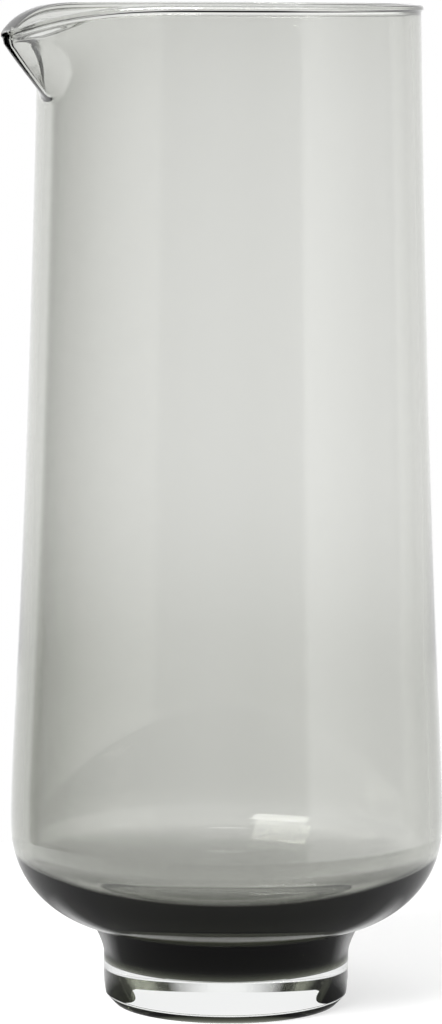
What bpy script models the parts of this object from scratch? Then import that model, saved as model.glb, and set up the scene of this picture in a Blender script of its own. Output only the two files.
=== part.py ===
"""A smoke glass carafe: a blown bowl with a drawn pouring spout, fused to a solid clear glass foot.

Lengths are in metres. +Z is up, the origin is the middle of the foot's flat underside, and the spout
points along -X, so that the XZ plane is the carafe's plane of symmetry.
"""

import math

import bmesh
import bpy

MM = 0.001

# Driving dimensions: heights are above the table, radii are from the axis
HEIGHT = 246.6 * MM
RIM_RADIUS = 46.5 * MM
BODY_RADIUS = 53.5 * MM
WIDEST_Z = 44.9 * MM
STEM_RADIUS = 30.4 * MM
SEAM_Z = 10.8 * MM
FLOOR_Z = 23.4 * MM

# Rim: a fire-polished bead, which stands a little proud of the wall outside
BEAD_HEIGHT = 2.8 * MM
BEAD_WIDTH = 2.9 * MM
BEAD_PROUD = 0.6 * MM

# Wall: even over the upper half, thicker at the rim and where the glass settled towards the base
WALL = 2.0 * MM
RIM_EXTRA = 0.33 * MM
RIM_FADE = 14.0 * MM
LOW_EXTRA = 1.8 * MM
SETTLED_Z = 155.0 * MM
SETTLED_END_Z = 60.0 * MM
FLARE_RADIUS = 49.8 * MM
FLARE_Z = 93.7 * MM
BELLY_REACH = 24.3 * MM

# Shoulder: the wall turns in under the bowl, towards the stem
SHOULDER_DROP = 15.7 * MM
UNDERSIDE_RADIUS = 33.4 * MM
UNDERSIDE_Z = 20.2 * MM
UNDERSIDE_SLOPE = math.radians(11.6)
UNDERSIDE_REACH = 8.3 * MM

# Cove: the hollow curve from the underside of the bowl into the stem
COVE_END_Z = 12.4 * MM
COVE_START_REACH = 0.1 * MM
COVE_REACH = 2.7 * MM

# Inside of the base: a round inner corner above a flat floor
INNER_CORNER_Z = 40.5 * MM
INNER_CORNER_REACH = 12.0 * MM
FLOOR_RADIUS = 21.0 * MM
FLOOR_REACH = 4.0 * MM

# Foot: a disc that draws in above its bevelled lower edge, fused to the stem at a shallow round seam
DRAW_Z = 7.0 * MM
DRAW_REACH = 2.0 * MM
BEVEL_RADIUS = 29.9 * MM
BEVEL_HEIGHT = 2.3 * MM
FLAT_RADIUS = 27.2 * MM
SEAM_DEPTH = 3.0 * MM
FUSED_GAP = 0.3 * MM

# Spout: the lip is drawn out to a point, over a keel whose flat flanks end at a crease
LIP_SPREAD = math.radians(57.7)
LIP_POWER = 2.8
TIP_ROUNDING = math.radians(1.8)
TIP_REACH = 11.3 * MM
TIP_DROP = 6.6 * MM
FLARE_DEPTH = 14.0 * MM
SPOUT_DEPTH = 20.2 * MM
KEEL_FULLNESS = 1.05
KEEL_WIDTH = 14.5 * MM
KEEL_TAPER = 0.4
CREASE_SOFTNESS = 0.012

# Facets: close together round the spout, wider apart elsewhere
SEGMENTS = 90
CROWDING = 0.45
SPOUT_RINGS = 12
WALL_RINGS = 8
CORNER_RINGS = 8
SHOULDER_RINGS = 8
COVE_RINGS = 4
BEAD_RINGS = 6
SEAM_RINGS = 3
SPOUT_SHARE = 0.066


def clear_scene():
    """Remove every object that the file opened with."""
    for obj in list(bpy.data.objects):
        bpy.data.objects.remove(obj, do_unlink=True)


def bezier(points, u):
    """Point at u, from 0 to 1, on the cubic curve with these four control points."""
    v = 1.0 - u
    weights = (v ** 3, 3 * v * v * u, 3 * v * u * u, u ** 3)
    return tuple(sum(w * p[axis] for w, p in zip(weights, points)) for axis in (0, 1))


def curve(points, count):
    """Evenly stepped points on a cubic curve, both ends included."""
    return [bezier(points, step / count) for step in range(count + 1)]


def wall_point(u):
    """Outer wall at u: 0 at the rim, 1 at the widest ring, where it stands upright."""
    return bezier((
        (RIM_RADIUS, HEIGHT - BEAD_HEIGHT / 2),
        (FLARE_RADIUS, FLARE_Z),
        (BODY_RADIUS, WIDEST_Z + BELLY_REACH),
        (BODY_RADIUS, WIDEST_Z),
    ), u)


def wall_steps():
    """Steps down the wall, close together over the spout and wide apart below it."""
    close = [SPOUT_SHARE * step / SPOUT_RINGS for step in range(1, SPOUT_RINGS + 1)]
    wide = [SPOUT_SHARE + (1 - SPOUT_SHARE) * step / WALL_RINGS for step in range(1, WALL_RINGS + 1)]
    return close + wide


def wall_thickness(z):
    """Thickness of the wall: even, with an exponential rise to the rim and a square-law rise to the base."""
    settled = min(max((SETTLED_Z - z) / (SETTLED_Z - SETTLED_END_Z), 0.0), 1.0)
    return WALL + RIM_EXTRA * math.exp((z - HEIGHT) / RIM_FADE) + LOW_EXTRA * settled ** 2


def inner_profile():
    """Middle of the floor, round the inner corner and up the inside of the wall."""
    low_radius = BODY_RADIUS - WALL - LOW_EXTRA
    corner = curve((
        (FLOOR_RADIUS, FLOOR_Z),
        (FLOOR_RADIUS + FLOOR_REACH, FLOOR_Z),
        (low_radius, INNER_CORNER_Z - INNER_CORNER_REACH),
        (low_radius, INNER_CORNER_Z),
    ), CORNER_RINGS)
    wall = map(wall_point, wall_steps())
    upright = [(r - wall_thickness(z), z) for r, z in wall if z > INNER_CORNER_Z + MM]
    return [(0.0, FLOOR_Z)] + corner + upright[::-1]


def rim_bead():
    """Oval bead from the inside of the wall, over the top and down to the outside."""
    half_width = BEAD_WIDTH / 2
    half_height = BEAD_HEIGHT / 2
    centre_r = RIM_RADIUS + BEAD_PROUD - half_width
    outer_angle = -math.acos((half_width - BEAD_PROUD) / half_width)
    angles = [math.pi + (outer_angle - math.pi) * step / BEAD_RINGS for step in range(BEAD_RINGS + 1)]
    return [(centre_r + half_width * math.cos(a), HEIGHT + half_height * (math.sin(a) - 1)) for a in angles]


def seam(edge_z):
    """Seam between stem and foot from the axis to the side, lower in the middle by a square law."""
    shares = [step / SEAM_RINGS for step in range(SEAM_RINGS + 1)]
    return [(STEM_RADIUS * share, edge_z - SEAM_DEPTH * (1 - share * share)) for share in shares]


def outer_profile():
    """Down the outside of the wall, under the shoulder, through the cove and across the stem's round end."""
    along = (math.cos(UNDERSIDE_SLOPE), math.sin(UNDERSIDE_SLOPE))
    underside = (UNDERSIDE_RADIUS, UNDERSIDE_Z)
    wall = [(r, z) for r, z in map(wall_point, wall_steps()) if z < HEIGHT - BEAD_HEIGHT]
    shoulder = curve((
        (BODY_RADIUS, WIDEST_Z),
        (BODY_RADIUS, WIDEST_Z - SHOULDER_DROP),
        (underside[0] + UNDERSIDE_REACH * along[0], underside[1] + UNDERSIDE_REACH * along[1]),
        underside,
    ), SHOULDER_RINGS)
    cove = curve((
        underside,
        (underside[0] - COVE_START_REACH * along[0], underside[1] - COVE_START_REACH * along[1]),
        (STEM_RADIUS, COVE_END_Z + COVE_REACH),
        (STEM_RADIUS, COVE_END_Z),
    ), COVE_RINGS)
    return wall + shoulder[1:] + cove[1:] + seam(SEAM_Z + FUSED_GAP / 2)[::-1]


def foot_profile():
    """Disc from the middle of its hollow top, down its side and bevel, to the middle of its underside."""
    draw = curve((
        (STEM_RADIUS, DRAW_Z),
        (STEM_RADIUS, DRAW_Z - DRAW_REACH),
        (BEVEL_RADIUS + 0.1 * DRAW_REACH, BEVEL_HEIGHT + 0.5 * DRAW_REACH),
        (BEVEL_RADIUS, BEVEL_HEIGHT),
    ), 3)
    bevel = curve((
        (BEVEL_RADIUS, BEVEL_HEIGHT),
        (BEVEL_RADIUS - 0.8 * MM, BEVEL_HEIGHT - 0.85 * MM),
        (FLAT_RADIUS + 1.1 * MM, 0.65 * MM),
        (FLAT_RADIUS, 0.0),
    ), 2)
    return seam(SEAM_Z - FUSED_GAP / 2) + draw + bevel[1:] + [(0.0, 0.0)]


def spout_pull(angle, depth):
    """How far the glass moves out and down when the spout is drawn.

    The angle is from the spout's line and the depth is below the rim. The lip reaches out by a power of
    the share of its spread that is left. Below the lip the larger of two moves wins: the lip's own flare,
    which fades by a square law, and a keel with straight flanks, which gets lower and narrower down to
    its foot. A rounded maximum joins them at a crease.
    """
    bent = math.hypot(angle, TIP_ROUNDING) - TIP_ROUNDING
    lip = max(1 - bent / LIP_SPREAD, 0.0) ** LIP_POWER
    below = max(depth - BEAD_HEIGHT, 0.0)
    left = 1 - min(below / SPOUT_DEPTH, 1.0) ** KEEL_FULLNESS
    if left <= 0.0:
        return 0.0, 0.0
    flare = TIP_REACH * lip * max(1 - below / FLARE_DEPTH, 0.0) ** 2
    keel = TIP_REACH * left * (1 - RIM_RADIUS * bent / (KEEL_WIDTH * left ** KEEL_TAPER))
    out = (flare + keel + math.hypot(flare - keel, CREASE_SOFTNESS * TIP_REACH * left)) / 2
    return out, TIP_DROP * lip * left


def draw_spout(mesh):
    """Crowd the mesh's columns towards -X, and pull those near the rim out into the spout."""
    for vertex in mesh.vertices:
        x, y, z = vertex.co
        radius = math.hypot(x, y)
        even_angle = math.atan2(y, -x)
        angle = even_angle - CROWDING * math.sin(even_angle)
        out, down = spout_pull(angle, HEIGHT - z)
        reach = radius + out if radius > MM else radius
        vertex.co = (-reach * math.cos(angle), reach * math.sin(angle), z - down)


def turned(name, profile, collection):
    """Object whose profile, drawn at +X, is turned about Z by a Screw modifier."""
    mesh = bpy.data.meshes.new(name)
    points = [(r, 0.0, z) for r, z in profile]
    edges = [(i, i + 1) for i in range(len(points) - 1)]
    mesh.from_pydata(points, edges, [])
    obj = bpy.data.objects.new(name, mesh)
    collection.objects.link(obj)
    screw = obj.modifiers.new("turn", "SCREW")
    screw.axis = "Z"
    screw.steps = SEGMENTS
    screw.render_steps = SEGMENTS
    screw.use_merge_vertices = True
    screw.merge_threshold = 0.01 * MM
    screw.use_smooth_shade = True
    return obj


def set_mesh(obj):
    """Replace the object's mesh and modifiers by the closed mesh that they give."""
    graph = bpy.context.evaluated_depsgraph_get()
    mesh = bpy.data.meshes.new_from_object(obj.evaluated_get(graph))
    obj.modifiers.clear()
    obj.data = mesh
    shell = bmesh.new()
    shell.from_mesh(mesh)
    bmesh.ops.remove_doubles(shell, verts=shell.verts, dist=0.01 * MM)
    shell.to_mesh(mesh)
    shell.free()
    return mesh


def smooth(mesh):
    """Shade the turned faces round, with the real corners kept sharp."""
    mesh.shade_smooth()
    mesh.set_sharp_from_angle(angle=math.radians(40))


def glass(name, colour):
    """Clear or tinted glass with a fire-polished surface."""
    material = bpy.data.materials.new(name)
    material.use_nodes = True
    shader = material.node_tree.nodes["Principled BSDF"]
    shader.inputs["Base Color"].default_value = (*colour, 1.0)
    shader.inputs["Metallic"].default_value = 0.0
    shader.inputs["Roughness"].default_value = 0.02
    shader.inputs["IOR"].default_value = 1.52
    shader.inputs["Transmission Weight"].default_value = 1.0
    return material


def make_bowl(collection):
    """Blown bowl of smoke glass, with its rim, spout, heavy base and stem in one piece."""
    bowl = turned("bowl", inner_profile() + rim_bead() + outer_profile(), collection)
    mesh = set_mesh(bowl)
    draw_spout(mesh)
    smooth(mesh)
    mesh.materials.append(glass("smoke_glass", (0.55, 0.57, 0.53)))
    return bowl


def make_foot(collection):
    """Solid disc of clear glass, fused under the stem."""
    foot = turned("foot", foot_profile(), collection)
    smooth(set_mesh(foot))
    foot.data.materials.append(glass("clear_glass", (0.93, 0.94, 0.94)))
    return foot


def main():
    clear_scene()
    collection = bpy.data.collections.new("carafe")
    bpy.context.scene.collection.children.link(collection)
    base = bpy.data.objects.new("carafe_axis", None)
    collection.objects.link(base)
    for piece in (make_bowl(collection), make_foot(collection)):
        piece.parent = base


main()
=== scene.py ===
"""Looks of the smoke glass carafe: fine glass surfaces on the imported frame, a white studio and the camera.

Lengths are in metres. +Z is up, the origin is the middle of the foot's underside, and the spout points
along -X.
"""

import math

import bpy
import numpy as np
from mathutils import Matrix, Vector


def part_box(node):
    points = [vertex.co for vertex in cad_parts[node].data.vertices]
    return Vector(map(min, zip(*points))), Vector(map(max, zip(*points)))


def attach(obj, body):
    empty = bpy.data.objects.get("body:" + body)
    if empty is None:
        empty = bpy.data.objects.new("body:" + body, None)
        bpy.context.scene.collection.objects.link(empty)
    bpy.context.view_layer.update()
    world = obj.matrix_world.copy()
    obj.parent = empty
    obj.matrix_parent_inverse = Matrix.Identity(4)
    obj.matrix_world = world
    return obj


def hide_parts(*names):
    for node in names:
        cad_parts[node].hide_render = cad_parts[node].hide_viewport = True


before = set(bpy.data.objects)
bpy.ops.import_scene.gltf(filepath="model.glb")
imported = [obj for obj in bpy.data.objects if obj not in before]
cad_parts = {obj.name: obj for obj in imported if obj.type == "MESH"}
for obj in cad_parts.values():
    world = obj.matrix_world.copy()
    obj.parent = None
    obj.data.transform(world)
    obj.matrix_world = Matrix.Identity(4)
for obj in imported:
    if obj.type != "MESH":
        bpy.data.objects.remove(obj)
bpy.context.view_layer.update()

MM = 0.001
DEGREE = math.radians(1.0)

# Sizes read from the frame, whose two solids keep a small gap at the seam
bowl_low, bowl_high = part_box("bowl")
foot_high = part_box("foot")[1]
HEIGHT = bowl_high[2]
BODY_RADIUS = bowl_high[0]
STEM_RADIUS = foot_high[0]
FUSED_GAP = 0.3 * MM
SEAM_Z = foot_high[2] + FUSED_GAP / 2
SEAM_DEPTH = SEAM_Z + FUSED_GAP / 2 - bowl_low[2]

# Rim: a fire-polished bead, which stands a little proud of the wall outside and turns in sharply under it
RIM_RADIUS = 46.65 * MM
BEAD_TOP = 1.2 * MM
BEAD_WIDTH = 3.08 * MM
BEAD_PROUD = 0.6 * MM
BEAD_CREST = 2.03 * MM
BEAD_FULLNESS = 2.88
BEAD_INSIDE = 0.4 * MM
BEAD_INSIDE_POWER = 1.25
BEAD_UNDER = 0.51 * MM
BEAD_NECK = 0.15 * MM
NECK_TAPER = 0.55 * MM
BEAD_SUPPORT = 0.03 * MM  # a ring close under the bead's inner edge keeps that edge crisp
RING_CLEARANCE = 0.2 * MM

# Wall: even over the upper half, thicker at the rim and where the glass settled towards the base
WALL = 2.0 * MM
RIM_FADE = 14.0 * MM
RIM_EXTRA = (BEAD_WIDTH - BEAD_PROUD - WALL) * math.exp(BEAD_INSIDE / RIM_FADE)
LOW_EXTRA = 1.03 * MM
SETTLED_Z = 143.0 * MM
SETTLED_END_Z = 84.0 * MM
WIDEST_Z = 44.9 * MM
FLARE_RADIUS = 49.8 * MM
FLARE_Z = 93.7 * MM
BELLY_REACH = 24.3 * MM
SPOUT_SHARE = 0.066  # share of the wall's curve that the spout takes

# Shoulder and cove: the wall turns in under the bowl and runs hollow into the stem
SHOULDER_DROP = 15.7 * MM
UNDERSIDE_RADIUS = 33.4 * MM
UNDERSIDE_Z = 20.2 * MM
UNDERSIDE_SLOPE = 11.6 * DEGREE
UNDERSIDE_REACH = 8.3 * MM
COVE_END_Z = 12.4 * MM
COVE_START_REACH = 0.1 * MM
COVE_REACH = 2.7 * MM

# Inside of the base: a round inner corner above a flat floor
INNER_CORNER_Z = 40.5 * MM
INNER_CORNER_REACH = 12.0 * MM
INNER_WALL_START = 1.0 * MM
FLOOR_RADIUS = 21.0 * MM
FLOOR_REACH = 4.0 * MM
FLOOR_Z = 23.4 * MM

# Foot: a disc that draws in a little above its bevelled lower edge, fused to the stem at a shallow seam
FOOT_DRAW_Z = 7.0 * MM
FOOT_DRAW_REACH = 2.0 * MM
BEVEL_RADIUS = 29.9 * MM
BEVEL_HEIGHT = 2.3 * MM
ABOVE_BEVEL_OUT = 0.2 * MM
ABOVE_BEVEL_UP = 1.1 * MM
FLAT_RADIUS = 27.7 * MM
SEAM_GAP = 0.05 * MM

# Spout: the lip is drawn out to a point, over a keel whose flat flanks end at a crease
LIP_SPREAD = 57.7 * DEGREE
LIP_POWER = 2.8
LIP_HEIGHT = 2.8 * MM
TIP_ROUNDING = 1.8 * DEGREE
TIP_REACH = 11.3 * MM
TIP_DROP = 6.6 * MM
FLARE_DEPTH = 14.0 * MM
SPOUT_DEPTH = 20.2 * MM
KEEL_FULLNESS = 1.05
KEEL_WIDTH = 14.5 * MM
KEEL_TAPER = 0.4
CREASE_SOFTNESS = 0.012

# Columns of the turned meshes, which crowd on the spout's side of the bowl
COLUMNS = 360
SPOUT_CROWDING = 0.65
SHARP_EDGE = 40.0 * DEGREE

# Glass: soda-lime, with the shallow waves that the flame leaves, drawn out along the wall
GLASS_IOR = 1.52
SMOKE_COLOUR = "#656B48"
SMOKE_DENSITY = 140.0
CLEAR_COLOUR = "#BCCBC4"
CLEAR_DENSITY = 2.0
WAVE_SIZE = (25 * MM, 25 * MM, 80 * MM)
WAVE_DEPTH = 0.03 * MM

# Camera, fitted to the ellipses of the rim and the foot
VIEW_AZIMUTH = -21.6 * DEGREE
CAMERA_DISTANCE = 1167.0 * MM
CAMERA_HEIGHT = 257.2 * MM
CAMERA_PITCH = 6.604 * DEGREE
CAMERA_YAW = 0.081 * DEGREE
CAMERA_ROLL = 0.204 * DEGREE
SENSOR_HEIGHT = 36.0
LENS = 167.8

# Level directions of the studio, seen from the carafe
FRONT = (math.sin(VIEW_AZIMUTH), -math.cos(VIEW_AZIMUTH), 0.0)
RIGHT = (math.cos(VIEW_AZIMUTH), math.sin(VIEW_AZIMUTH), 0.0)
BACK = (-math.sin(VIEW_AZIMUTH), math.cos(VIEW_AZIMUTH), 0.0)

# Table: what the glass sees of it, as pairs of millimetres from the axis and level: painted shadow near the
# foot, and the same behind the foot, where painted light stands for the light that the clear glass lets
# through
TABLE_RADIUS = 220.0 * MM
TABLE_CLEARANCE = 0.02 * MM
TABLE_MATT = 0.4
TABLE_GLOW = 0.6
TABLE_PAINTED_SHADE = [(0, 0.95), (27, 0.95), (28, 0.1), (170, 1.0), (220, 1.0)]
TABLE_PAINTED_LIGHT_BEHIND = [(0, 0.95), (55, 0.95), (75, 0.4), (170, 1.0), (220, 1.0)]
TABLE_BLEND = 20.0 * MM

# Studio round the carafe, as pairs of degrees and level: turned from the front to the right for what the
# glass reflects, and risen from the horizon for the ceiling's share and for what is seen through the glass
REFLECTED_ROUND = [
    (-180, 1.2), (-132, 1.1), (-127, 0.0), (-97, 0.0), (-85, 0.35), (-60, 1.0), (-40, 1.27), (-10, 1.6),
    (15, 1.55), (42, 2.0), (46, 3.1), (80, 2.9), (105, 2.5), (130, 1.45), (150, 1.1), (180, 1.2),
]
OVERHEAD_SHARE = [(-90, 0.0), (32, 0.0), (42, 1.0), (90, 1.0)]
OVERHEAD = 2.2
SEEN_THROUGH_UP = [
    (-90, 0.58), (-25, 0.58), (-13, 1.0), (-4, 1.0), (0, 0.93), (6, 0.95), (12, 1.05), (18.7, 1.05),
    (24.6, 0.0), (90, 0.0),
]

# Lamps
SOFTBOX_DISTANCE = 1.6
SOFTBOX_PANELS = [  # turn, rise and roll in degrees, width, height, radiance
    (-36.5, 33.5, 3.5, 0.92, 0.52, 29.0),
    (-40.0, 46.5, 10.0, 0.76, 0.53, 4.0),
]
STRIP_WIDTH = 160.0 * MM
STRIP_DEPTH = 130.0 * MM
STRIP_AHEAD = 115.0 * MM
STRIP_ABOVE = 40.0 * MM
STRIP_RADIANCE = 6.5

# Bounces of light in the render
GLASS_BOUNCES = 40
GLOSSY_BOUNCES = 24


def linear(hex_colour):
    """Linear colour with alpha 1 of an sRGB hex value."""
    parts = [int(hex_colour[i:i + 2], 16) / 255 for i in (1, 3, 5)]
    return tuple(c / 12.92 if c <= 0.04045 else ((c + 0.055) / 1.055) ** 2.4 for c in parts) + (1.0,)


def grey(level):
    """Grey of a linear level, with alpha 1."""
    return (level, level, level, 1.0)


def add(tree, kind, inputs=None, **settings):
    """Add a node with these settings, and fill its sockets with values or links."""
    new = tree.nodes.new(kind)
    for name, value in settings.items():
        setattr(new, name, value)
    for key, value in (inputs or {}).items():
        if isinstance(value, bpy.types.NodeSocket):
            tree.links.new(value, new.inputs[key])
        else:
            new.inputs[key].default_value = value
    return new


def even(count):
    """Even steps from 0 to 1."""
    return np.linspace(0.0, 1.0, count)


def straight(start, end, count):
    """Even steps along a straight line."""
    return np.linspace(start, end, count)


def bezier(start, start_handle, end_handle, end, steps):
    """Cubic Bezier curve: four points weighted by the cubic Bernstein polynomials, read at the steps."""
    u = steps[:, None]
    v = 1.0 - u
    corners = [np.array(p, float) for p in (start, start_handle, end_handle, end)]
    return v**3 * corners[0] + 3 * v * v * u * corners[1] + 3 * v * u * u * corners[2] + u**3 * corners[3]


def joined(*stretches):
    """One profile from stretches that start where the last one ended."""
    return np.concatenate([stretches[0]] + [s[1:] for s in stretches[1:]])


def outer_wall():
    """Outer wall from the rim down to its widest ring.

    It is one cubic curve that ends upright, with close steps over the spout's share of it.
    """
    close = SPOUT_SHARE * even(32)
    wide = SPOUT_SHARE + (1 - SPOUT_SHARE) * even(28)
    return bezier(
        (RIM_RADIUS, HEIGHT - BEAD_TOP),
        (FLARE_RADIUS, FLARE_Z),
        (BODY_RADIUS, WIDEST_Z + BELLY_REACH),
        (BODY_RADIUS, WIDEST_Z),
        np.concatenate([close, wide[1:]]),
    )


def wall_thickness(z):
    """Wall thickness: even, plus an exponential rise to the rim and a square-law rise towards the base."""
    settled = np.clip((SETTLED_Z - z) / (SETTLED_Z - SETTLED_END_Z), 0.0, 1.0)
    return WALL + RIM_EXTRA * np.exp((z - HEIGHT) / RIM_FADE) + LOW_EXTRA * settled**2


def rim_bead():
    """Rim bead from the inner wall over the top to the outer wall.

    The inner edge rises to the crest as a superellipse, the outer quarter is a fuller one, and under it the
    bead turns in along a short slope to a neck, which tapers into the wall along a cubic curve.
    """
    outer, middle = RIM_RADIUS + BEAD_PROUD, HEIGHT - BEAD_TOP
    crest, inside = outer - BEAD_CREST, BEAD_WIDTH - BEAD_CREST
    rise = math.pi / 2 * even(10)
    slope_radius = crest - inside * np.cos(rise) ** BEAD_INSIDE_POWER
    slope_height = HEIGHT - BEAD_INSIDE * (1 - np.sin(rise) ** BEAD_INSIDE_POWER)
    fall = math.pi / 2 * (1 - even(26))
    power = 2 / BEAD_FULLNESS
    quarter_radius = crest + BEAD_CREST * np.cos(fall) ** power
    quarter_height = middle + BEAD_TOP * np.sin(fall) ** power
    neck = np.array([RIM_RADIUS + BEAD_NECK, middle - BEAD_UNDER])
    under = bezier(
        (outer, middle),
        (outer, middle - BEAD_UNDER / 10),
        neck + (0.0, BEAD_UNDER / 10),
        neck,
        even(14),
    )
    taper = bezier(
        neck,
        neck - (0.0, NECK_TAPER / 4),
        (RIM_RADIUS, neck[1] - 0.6 * NECK_TAPER),
        (RIM_RADIUS, neck[1] - NECK_TAPER),
        even(10),
    )
    slope = np.stack([slope_radius, slope_height], 1)
    quarter = np.stack([quarter_radius, quarter_height], 1)
    return joined(slope, quarter, under, taper)


def inner_base():
    """Inside of the base from the middle of its floor, which is flat, round a cubic corner to the wall."""
    low_radius = BODY_RADIUS - WALL - LOW_EXTRA
    corner = bezier(
        (FLOOR_RADIUS, FLOOR_Z),
        (FLOOR_RADIUS + FLOOR_REACH, FLOOR_Z),
        (low_radius, INNER_CORNER_Z - INNER_CORNER_REACH),
        (low_radius, INNER_CORNER_Z),
        even(24),
    )
    return joined(straight((0.0, FLOOR_Z), (FLOOR_RADIUS, FLOOR_Z), 8), corner)


def seam(edge_z):
    """Seam of the two glasses from the axis to the side: a bowl, lower in the middle by a square law."""
    radius = STEM_RADIUS * even(16)
    return np.stack([radius, edge_z - SEAM_DEPTH * (1 - (radius / STEM_RADIUS) ** 2)], 1)


def outer_base():
    """Outside of the base below the widest ring: a cubic shoulder, a cubic cove and the straight stem."""
    along = np.array([math.cos(UNDERSIDE_SLOPE), math.sin(UNDERSIDE_SLOPE)])
    underside = np.array([UNDERSIDE_RADIUS, UNDERSIDE_Z])
    shoulder = bezier(
        (BODY_RADIUS, WIDEST_Z),
        (BODY_RADIUS, WIDEST_Z - SHOULDER_DROP),
        underside + UNDERSIDE_REACH * along,
        underside,
        even(26),
    )
    cove = bezier(
        underside,
        underside - COVE_START_REACH * along,
        (STEM_RADIUS, COVE_END_Z + COVE_REACH),
        (STEM_RADIUS, COVE_END_Z),
        even(14),
    )
    stem_end = SEAM_Z + SEAM_GAP / 2
    side = straight((STEM_RADIUS, COVE_END_Z), (STEM_RADIUS, stem_end), 3)
    return joined(shoulder, cove, side, seam(stem_end)[::-1])


def bowl_profile():
    """Closed profile of the bowl as radius and height, from the middle of its floor to that of its stem.

    The inner wall is the outer one moved in by the wall's thickness.
    """
    wall = outer_wall()
    bead = rim_bead()
    inner = wall - wall_thickness(wall[:, 1])[:, None] * (1.0, 0.0)
    inner = inner[inner[:, 1] > INNER_CORNER_Z + INNER_WALL_START][::-1]
    inner = inner[inner[:, 1] < bead[0, 1] - RING_CLEARANCE]
    support = bead[:1] - (0.0, BEAD_SUPPORT)
    wall = wall[wall[:, 1] < bead[-1, 1] - RING_CLEARANCE]
    return np.concatenate([inner_base(), inner, support, bead, wall, outer_base()[1:]])


def foot_profile():
    """Closed profile of the foot, from the middle of its top to the middle of its underside."""
    top = SEAM_Z - SEAM_GAP / 2
    draw = bezier(
        (STEM_RADIUS, FOOT_DRAW_Z),
        (STEM_RADIUS, FOOT_DRAW_Z - FOOT_DRAW_REACH),
        (BEVEL_RADIUS + ABOVE_BEVEL_OUT, BEVEL_HEIGHT + ABOVE_BEVEL_UP),
        (BEVEL_RADIUS, BEVEL_HEIGHT),
        even(12),
    )
    return joined(
        seam(top),
        straight((STEM_RADIUS, top), (STEM_RADIUS, FOOT_DRAW_Z), 4),
        draw,
        straight((BEVEL_RADIUS, BEVEL_HEIGHT), (FLAT_RADIUS, 0.0), 8),
        straight((FLAT_RADIUS, 0.0), (0.0, 0.0), 6),
    )


def draw_spout(radius, height, angle):
    """Move the rim's glass out and down into the spout.

    The lip reaches out by a power of the share of the spread that is left at its angle. Below the lip the
    larger of two moves wins: the lip's own flare, which fades by a square law, and a keel with straight
    flanks, which gets lower and narrower down to its foot. A rounded maximum joins them at a soft crease.
    """
    bent = np.hypot(angle, TIP_ROUNDING) - TIP_ROUNDING
    share = np.clip(1 - bent / LIP_SPREAD, 0.0, 1.0)
    below = np.maximum(HEIGHT - LIP_HEIGHT - height, 0.0)
    left = 1 - np.minimum(below / SPOUT_DEPTH, 1.0) ** KEEL_FULLNESS
    lip = share**LIP_POWER
    flare = TIP_REACH * lip * np.clip(1 - below / FLARE_DEPTH, 0.0, 1.0) ** 2
    width = KEEL_WIDTH * np.maximum(left, 1e-6) ** KEEL_TAPER
    keel = TIP_REACH * left * (1 - RIM_RADIUS * bent / width)
    soft = CREASE_SOFTNESS * TIP_REACH * left
    out = (flare + keel + np.hypot(flare - keel, soft)) / 2
    return radius + out, height - TIP_DROP * lip * left


def turned_grid(profile, crowding=0.0, shape=None):
    """Points of a profile's rings round the Z axis, then its two ends, which are single points.

    Column angles are t minus crowding times sin t, counted from -X, so that they crowd on the spout's side.
    The shape function moves the grid of radius and height, given the angle.
    """
    turn = np.linspace(-math.pi, math.pi, COLUMNS, endpoint=False)
    angle = (turn - crowding * np.sin(turn))[None, :]
    radius = np.repeat(profile[1:-1, :1], COLUMNS, 1)
    height = np.repeat(profile[1:-1, 1:], COLUMNS, 1)
    if shape:
        radius, height = shape(radius, height, angle)
    rings = np.stack([-radius * np.cos(angle), -radius * np.sin(angle), height], -1)
    poles = np.array([[0.0, 0.0, profile[0, 1]], [0.0, 0.0, profile[-1, 1]]])
    return np.concatenate([rings.reshape(-1, 3), poles])


def turned_piece(name, profile, crowding=0.0, shape=None):
    """Closed mesh on a turned grid: four-sided faces between rings, and a fan of triangles at each end."""
    points = turned_grid(profile, crowding, shape)
    rings = len(profile) - 2
    index = np.arange(rings * COLUMNS).reshape(rings, COLUMNS)
    beside = np.roll(index, -1, 1)
    quads = np.stack([index[:-1], index[1:], beside[1:], beside[:-1]], -1)
    first = np.stack([np.full(COLUMNS, rings * COLUMNS), index[0], beside[0]], -1)
    last = np.stack([index[-1], np.full(COLUMNS, rings * COLUMNS + 1), beside[-1]], -1)
    corners = np.concatenate([quads.ravel(), first.ravel(), last.ravel()])
    sides = np.concatenate([np.full((rings - 1) * COLUMNS, 4), np.full(2 * COLUMNS, 3)])
    mesh = bpy.data.meshes.new(name)
    mesh.vertices.add(len(points))
    mesh.vertices.foreach_set("co", points.ravel())
    mesh.loops.add(len(corners))
    mesh.loops.foreach_set("vertex_index", corners)
    mesh.polygons.add(len(sides))
    mesh.polygons.foreach_set("loop_start", np.concatenate([[0], np.cumsum(sides)[:-1]]))
    mesh.update(calc_edges=True)
    mesh.shade_smooth()
    mesh.set_sharp_from_angle(angle=SHARP_EDGE)
    piece = bpy.data.objects.new(name, mesh)
    bpy.context.scene.collection.objects.link(piece)
    return piece


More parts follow.
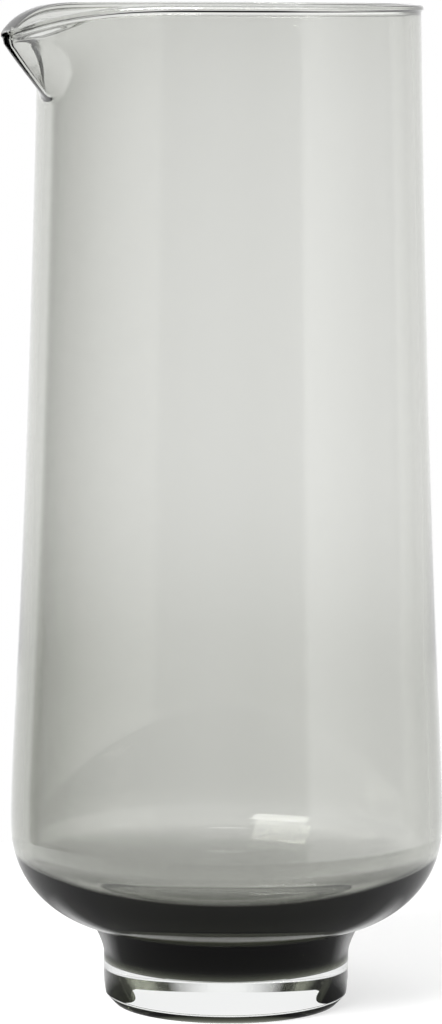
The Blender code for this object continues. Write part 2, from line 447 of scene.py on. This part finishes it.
def glass_contact(tree, place):
    """1 on the faces where glass is fused to glass or rests on the table, 0 elsewhere.

    The seam's level is its middle's height plus its depth times the squared share of the stem's radius.
    """
    height = add(tree, "ShaderNodeSeparateXYZ", {0: place}).outputs["Z"]
    level_part = {0: place, 1: (1.0, 1.0, 0.0)}
    out = add(tree, "ShaderNodeVectorMath", level_part, operation="MULTIPLY").outputs[0]
    square = add(tree, "ShaderNodeVectorMath", {0: out, 1: out}, operation="DOT_PRODUCT").outputs["Value"]
    law = {0: square, 1: SEAM_DEPTH / STEM_RADIUS**2, 2: SEAM_Z - SEAM_DEPTH}
    level = add(tree, "ShaderNodeMath", law, operation="MULTIPLY_ADD").outputs[0]
    at_seam = {0: height, 1: level, 2: SEAM_GAP}
    fused = add(tree, "ShaderNodeMath", at_seam, operation="COMPARE").outputs[0]
    at_table = {0: height, 1: TABLE_CLEARANCE}
    resting = add(tree, "ShaderNodeMath", at_table, operation="LESS_THAN").outputs[0]
    return add(tree, "ShaderNodeMath", {0: fused, 1: resting}, operation="MAXIMUM").outputs[0]


def flame_waves(tree, place):
    """Normal of a surface with shallow waves, which are longer up the wall than across it."""
    stretch = {0: place, 1: [1 / size for size in WAVE_SIZE]}
    drawn = add(tree, "ShaderNodeVectorMath", stretch, operation="MULTIPLY").outputs[0]
    waves = add(tree, "ShaderNodeTexNoise", {"Vector": drawn, "Scale": 1.0, "Detail": 1.0}).outputs[0]
    bump = add(tree, "ShaderNodeBump", {"Height": waves, "Strength": 1.0, "Distance": WAVE_DEPTH})
    return bump.outputs[0]


def fire_polished_glass(name, colour, density):
    """Soda-lime glass smoothed by the flame: clear gloss with a faint waviness of the surface.

    Its colour is in the glass, so it deepens with the way that light goes through it. Faces in contact have
    no gloss of their own.
    """
    material = bpy.data.materials.new(name)
    material.use_nodes = True
    tree = material.node_tree
    shader = tree.nodes["Principled BSDF"]
    shader.inputs["Base Color"].default_value = grey(1.0)
    shader.inputs["Roughness"].default_value = 0.0
    shader.inputs["IOR"].default_value = GLASS_IOR
    shader.inputs["Transmission Weight"].default_value = 1.0
    place = add(tree, "ShaderNodeTexCoord").outputs["Object"]
    contact = glass_contact(tree, place)
    free = add(tree, "ShaderNodeMath", {0: 1.0, 1: contact}, operation="SUBTRACT").outputs[0]
    tree.links.new(free, shader.inputs["Alpha"])
    tree.links.new(flame_waves(tree, place), shader.inputs["Normal"])
    tint = add(tree, "ShaderNodeVolumeAbsorption", {"Color": linear(colour), "Density": density})
    tree.links.new(tint.outputs[0], tree.nodes["Material Output"].inputs["Volume"])
    return material


def make_bowl():
    """Bowl of smoke glass with its rim, spout, heavy base and stem."""
    bowl = turned_piece("glass_bowl", bowl_profile(), SPOUT_CROWDING, draw_spout)
    # Smoke tint: pale grey through the thin wall, deeper in the base and nearly black in the stem
    bowl.data.materials.append(fire_polished_glass("smoke_glass_blown", SMOKE_COLOUR, SMOKE_DENSITY))
    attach(bowl, "root")
    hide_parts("bowl")


def make_foot():
    """Solid disc of clear glass under the stem."""
    foot = turned_piece("glass_foot", foot_profile())
    # Clear glass: white as the table, with a faint cool green where light goes a long way through it
    foot.data.materials.append(fire_polished_glass("clear_glass_pressed", CLEAR_COLOUR, CLEAR_DENSITY))
    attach(foot, "root")
    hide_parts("foot")


def make_camera():
    """Camera at the photograph's viewing angle."""
    data = bpy.data.cameras.new("camera")
    data.sensor_fit = "VERTICAL"
    data.sensor_height = SENSOR_HEIGHT
    data.lens = LENS
    data.clip_start = 10 * MM
    camera = bpy.data.objects.new("camera", data)
    bpy.context.scene.collection.objects.link(camera)
    camera.location = (CAMERA_DISTANCE * FRONT[0], CAMERA_DISTANCE * FRONT[1], CAMERA_HEIGHT)
    camera.rotation_euler = (math.pi / 2 - CAMERA_PITCH, 0.0, VIEW_AZIMUTH + CAMERA_YAW)
    camera.rotation_euler.rotate_axis("Z", CAMERA_ROLL)
    bpy.context.scene.camera = camera


def graded(tree, value, unit, stops):
    """Grey level that follows a value along stops, pairs of the value in its unit and the level there."""
    low, high = stops[0][0], stops[-1][0]
    span = {0: value, 1: low * unit, 2: high * unit, 3: 0.0, 4: 1.0}
    ramp = add(tree, "ShaderNodeValToRGB", {0: add(tree, "ShaderNodeMapRange", span).outputs[0]})
    elements = ramp.color_ramp.elements
    elements.remove(elements[1])
    for number, (place, level) in enumerate(stops):
        position = (place - low) / (high - low)
        stop = elements[0] if number == 0 else elements.new(position)
        stop.position = position
        stop.color = grey(level)
    return ramp.outputs[0]


def in_glass(tree):
    """1 for a ray that glass has reflected or let through, 0 for one that comes straight from elsewhere."""
    path = add(tree, "ShaderNodeLightPath").outputs
    rays = {0: path["Is Glossy Ray"], 1: path["Is Transmission Ray"]}
    return add(tree, "ShaderNodeMath", rays, operation="MAXIMUM").outputs[0]


def risen(tree, way):
    """Angle of a direction above the horizon."""
    up = add(tree, "ShaderNodeSeparateXYZ", {0: way}).outputs["Z"]
    return add(tree, "ShaderNodeMath", {0: up}, operation="ARCSINE").outputs[0]


def reflected_studio(tree, way):
    """What the glass reflects: levels round the studio, which give way to an even ceiling overhead."""
    ahead = add(tree, "ShaderNodeVectorMath", {0: way, 1: FRONT}, operation="DOT_PRODUCT").outputs["Value"]
    side = add(tree, "ShaderNodeVectorMath", {0: way, 1: RIGHT}, operation="DOT_PRODUCT").outputs["Value"]
    turn = add(tree, "ShaderNodeMath", {0: side, 1: ahead}, operation="ARCTAN2").outputs[0]
    walls = graded(tree, turn, DEGREE, REFLECTED_ROUND)
    share = graded(tree, risen(tree, way), DEGREE, OVERHEAD_SHARE)
    return add(tree, "ShaderNodeMix", {0: share, 6: walls, 7: grey(OVERHEAD)}, data_type="RGBA").outputs[2]


def make_world():
    """White surround for the camera, and the studio that shows in the glass.

    A ray that glass has reflected at least once sees the studio's lit walls, and one that only came through
    glass sees the backdrop.
    """
    world = bpy.data.worlds.new("studio")
    bpy.context.scene.world = world
    world.use_nodes = True
    tree = world.node_tree
    tree.nodes.clear()
    way = add(tree, "ShaderNodeTexCoord").outputs["Generated"]
    backdrop = graded(tree, risen(tree, way), DEGREE, SEEN_THROUGH_UP)
    reflections = add(tree, "ShaderNodeLightPath").outputs["Glossy Depth"]
    mirrored = add(tree, "ShaderNodeMath", {0: reflections, 1: 0.5}, operation="GREATER_THAN").outputs[0]
    levels = {0: mirrored, 6: backdrop, 7: reflected_studio(tree, way)}
    colour = add(tree, "ShaderNodeMix", levels, data_type="RGBA").outputs[2]
    white = add(tree, "ShaderNodeBackground", {"Color": grey(1.0), "Strength": 1.0})
    studio = add(tree, "ShaderNodeBackground", {"Color": colour, "Strength": 1.0})
    mix = add(tree, "ShaderNodeMixShader", {0: in_glass(tree), 1: white.outputs[0], 2: studio.outputs[0]})
    add(tree, "ShaderNodeOutputWorld", {"Surface": mix.outputs[0]})


def white_table():
    """Matt white table top, lit evenly: plain white that takes a soft grey shadow.

    The glass sees painted levels instead: a painted shadow near the foot, and behind the foot painted light
    for what the clear glass lets through.
    """
    material = bpy.data.materials.new("white_table")
    material.use_nodes = True
    tree = material.node_tree
    tree.nodes.clear()
    matt = add(tree, "ShaderNodeBsdfDiffuse", {"Color": grey(TABLE_MATT)})
    glow = add(tree, "ShaderNodeEmission", {"Color": grey(1.0), "Strength": TABLE_GLOW})
    plain = add(tree, "ShaderNodeAddShader", {0: matt.outputs[0], 1: glow.outputs[0]})
    place = add(tree, "ShaderNodeTexCoord").outputs["Object"]
    away = add(tree, "ShaderNodeVectorMath", {0: place}, operation="LENGTH").outputs["Value"]
    # painted shadow near the foot and painted light behind it, shown only to rays that glass reflected or
    # let through
    shade = graded(tree, away, MM, TABLE_PAINTED_SHADE)
    lit = graded(tree, away, MM, TABLE_PAINTED_LIGHT_BEHIND)
    beyond = add(tree, "ShaderNodeVectorMath", {0: place, 1: BACK}, operation="DOT_PRODUCT").outputs["Value"]
    blend = {0: beyond, 1: 0.0, 2: TABLE_BLEND, 3: 0.0, 4: 1.0}
    behind = add(tree, "ShaderNodeMapRange", blend).outputs[0]
    colour = add(tree, "ShaderNodeMix", {0: behind, 6: shade, 7: lit}, data_type="RGBA").outputs[2]
    shown = add(tree, "ShaderNodeEmission", {"Color": colour, "Strength": 1.0})
    mix = add(tree, "ShaderNodeMixShader", {0: in_glass(tree), 1: plain.outputs[0], 2: shown.outputs[0]})
    add(tree, "ShaderNodeOutputMaterial", {"Surface": mix.outputs[0]})
    return material


def make_floor():
    """Round table top under the carafe."""
    turn = np.linspace(0.0, 2 * math.pi, 128, endpoint=False)
    corners = np.stack([TABLE_RADIUS * np.cos(turn), TABLE_RADIUS * np.sin(turn), 0 * turn], 1)
    mesh = bpy.data.meshes.new("table_top")
    mesh.from_pydata(corners.tolist(), [], [list(range(len(corners)))])
    mesh.materials.append(white_table())
    floor = bpy.data.objects.new("table_top", mesh)
    bpy.context.scene.collection.objects.link(floor)
    floor.location.z = -TABLE_CLEARANCE


def make_panel(name, width, height, radiance, place, turned):
    """Rectangular area light out of the camera's own sight. Its power is pi times radiance times area."""
    data = bpy.data.lights.new(name, "AREA")
    data.shape = "RECTANGLE"
    data.size = width
    data.size_y = height
    data.energy = radiance * math.pi * width * height
    lamp = bpy.data.objects.new(name, data)
    bpy.context.scene.collection.objects.link(lamp)
    lamp.location = place
    lamp.rotation_euler = turned
    lamp.visible_camera = False
    return lamp


def make_softbox():
    """Softbox high on the camera's left and its dimmer upper skirt, a bright window in the base."""
    for turn, rise, roll, width, height, radiance in SOFTBOX_PANELS:
        turn = VIEW_AZIMUTH + turn * DEGREE
        rise = rise * DEGREE
        level = SOFTBOX_DISTANCE * math.cos(rise)
        place = (level * math.sin(turn), -level * math.cos(turn), SOFTBOX_DISTANCE * math.sin(rise))
        lamp = make_panel("softbox", width, height, radiance, place, (math.pi / 2 - rise, 0.0, turn))
        lamp.rotation_euler.rotate_axis("Z", roll * DEGREE)


def make_strip():
    """Strip light on a boom close over the rim's near side, which whitens the top of the near bead."""
    place = (STRIP_AHEAD * FRONT[0], STRIP_AHEAD * FRONT[1], HEIGHT + STRIP_ABOVE)
    lamp = make_panel("strip", STRIP_WIDTH, STRIP_DEPTH, STRIP_RADIANCE, place, (0.0, 0.0, VIEW_AZIMUTH))
    lamp.visible_diffuse = False
    lamp.visible_transmission = False


def set_render():
    """Plain view transform, and enough bounces for light to cross every glass wall."""
    scene = bpy.context.scene
    scene.view_settings.view_transform = "Standard"
    scene.cycles.max_bounces = GLASS_BOUNCES
    scene.cycles.transmission_bounces = GLASS_BOUNCES
    scene.cycles.glossy_bounces = GLOSSY_BOUNCES


make_bowl()
make_foot()
make_floor()
make_world()
make_softbox()
make_strip()
make_camera()
set_render()
